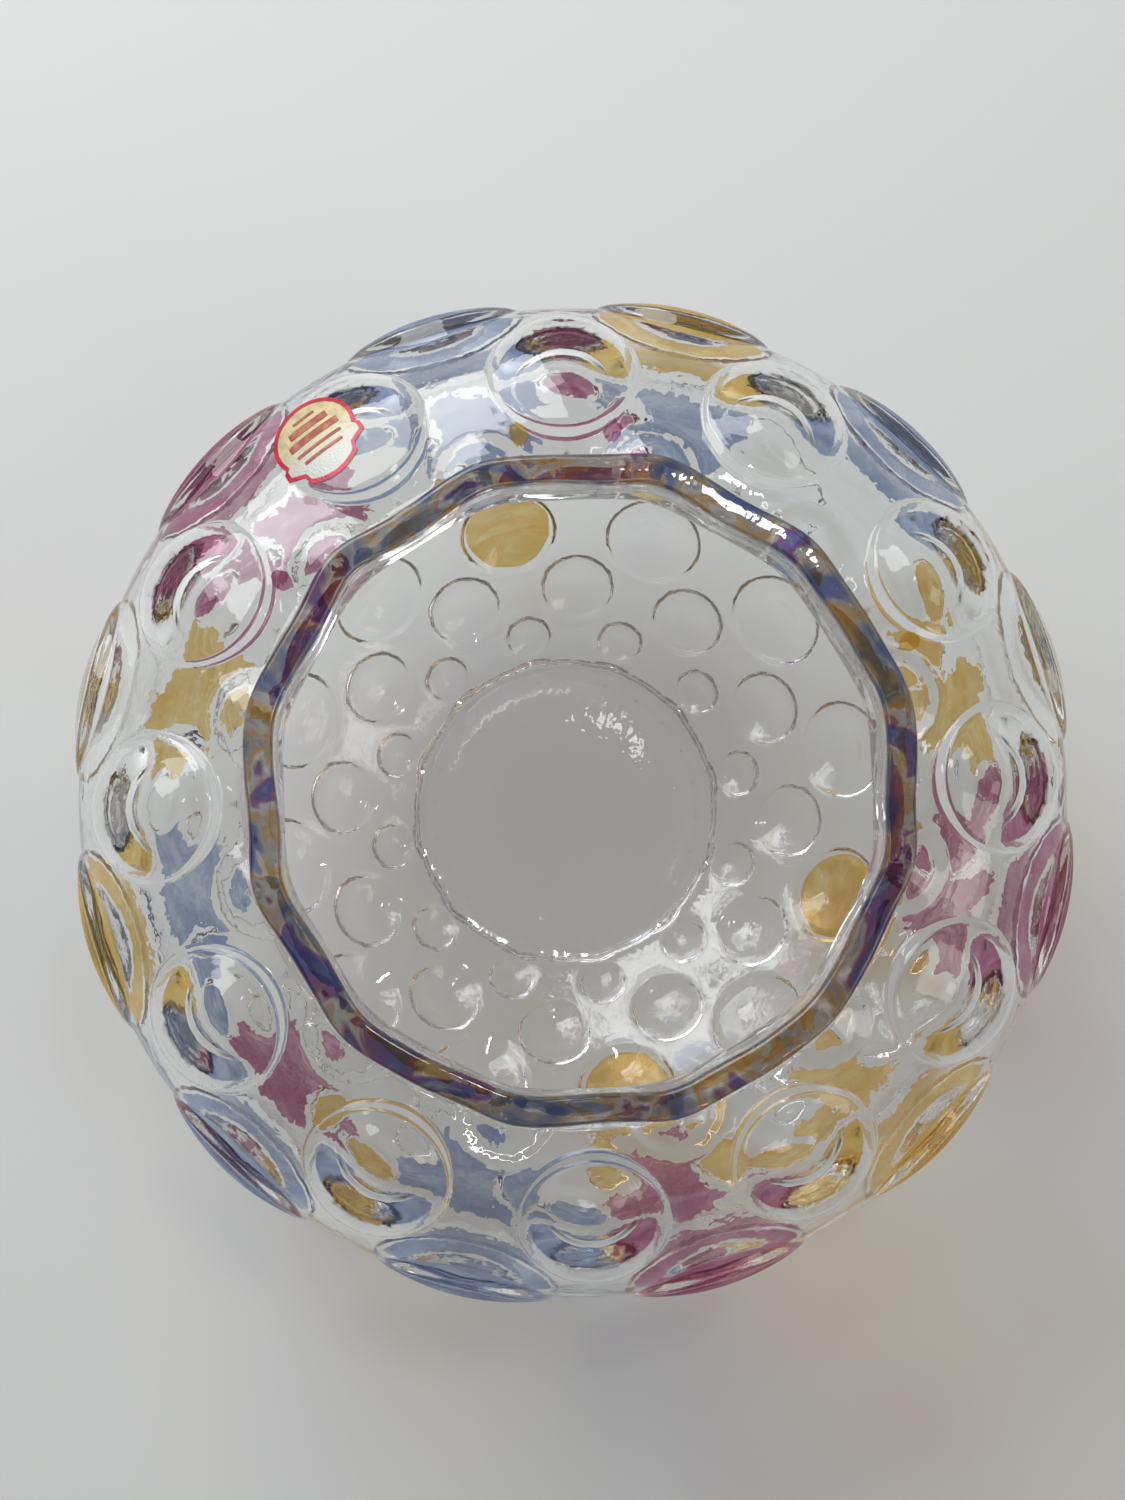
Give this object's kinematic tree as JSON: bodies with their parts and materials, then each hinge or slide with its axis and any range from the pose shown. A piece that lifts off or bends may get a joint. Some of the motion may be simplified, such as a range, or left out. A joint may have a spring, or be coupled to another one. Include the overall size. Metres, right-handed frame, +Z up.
{
  "type": "art glass bowl",
  "caption": "Low round bowl of thick clear blown glass with staggered rows of raised round lenses, some stained amber, blue and violet, and a short many-sided collar.",
  "frame": {"origin": "centre of the foot, on the surface the bowl stands on", "axes": "+Z up through the mouth, the bowl's axis of revolution; +Y through the middle of a violet lens in the fourth row; +X at azimuth 90 degrees clockwise from +Y seen from above"},
  "size_m": [0.1476, 0.1476, 0.098],
  "materials": {
    "clear_glass": "fire-polished clear crystal",
    "amber_stain": "translucent amber stain, hand brushed",
    "blue_stain": "translucent grey-blue stain, hand brushed",
    "violet_stain": "translucent plum stain, hand brushed",
    "label_adhesive": "dull pressure-sensitive glue",
    "label_foil": "pale gold embossed foil",
    "label_red": "bright red ink on foil",
    "label_gold_print": "printed gold-red ink"
  },
  "bodies": {
    "root": {"glass_body": "clear_glass", "amber_lenses_row3": "amber_stain", "amber_lenses_row4": "amber_stain", "amber_lenses_row5": "amber_stain", "amber_webs": "amber_stain", "amber_neck_strokes": "amber_stain", "blue_lenses_row4": "blue_stain", "blue_lenses_row5": "blue_stain", "blue_webs": "blue_stain", "violet_lenses_row4": "violet_stain", "violet_lenses_row5": "violet_stain", "violet_webs": "violet_stain", "violet_neck_strokes": "violet_stain", "label_adhesive": "label_adhesive", "label_foil": "label_foil", "label_border": "label_red", "label_print_bars": "label_gold_print"}
  },
  "joints": []
}
